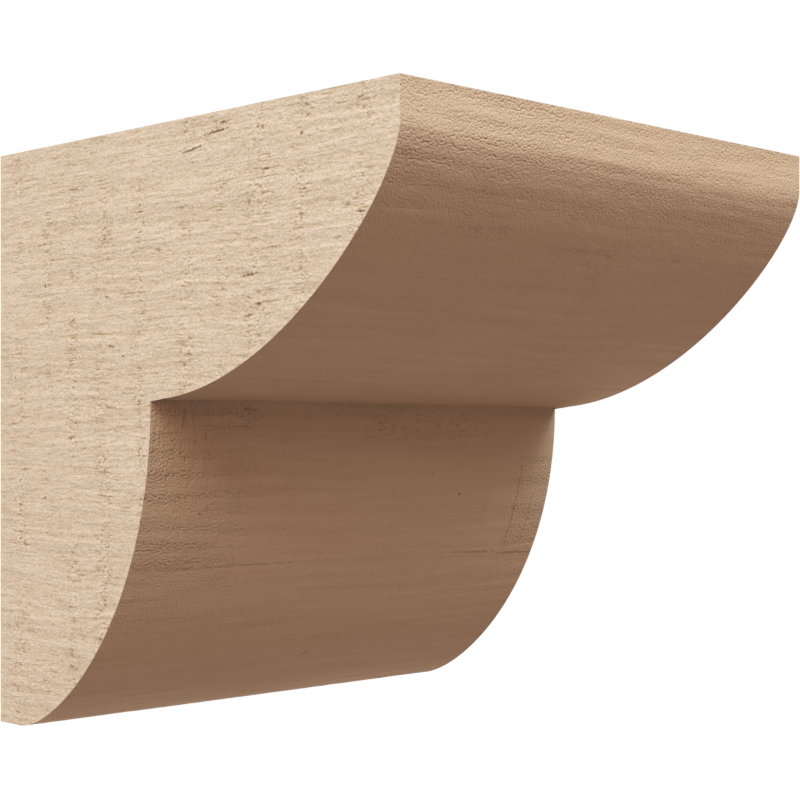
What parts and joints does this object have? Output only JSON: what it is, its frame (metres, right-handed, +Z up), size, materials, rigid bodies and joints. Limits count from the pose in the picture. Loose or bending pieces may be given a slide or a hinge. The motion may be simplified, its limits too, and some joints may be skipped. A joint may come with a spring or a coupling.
{
  "type": "corbel",
  "caption": "Square wall corbel with a stepped double-lobed front, rough-sawn timber relief and a dull tan finish; carries a shelf, beam or eave on its flat top.",
  "frame": {"origin": "centre of the flat back, where the corbel lies against the wall", "axes": "+Z up, +Y out of the back into the wall, so the corbel stands out towards -Y and its width runs along X"},
  "size_m": [0.2032, 0.2032, 0.2032],
  "materials": {
    "rough_sawn_tan": "rough-sawn timber relief under a dull tan primer"
  },
  "bodies": {
    "root": {"corbel_block": "rough_sawn_tan"}
  },
  "joints": []
}
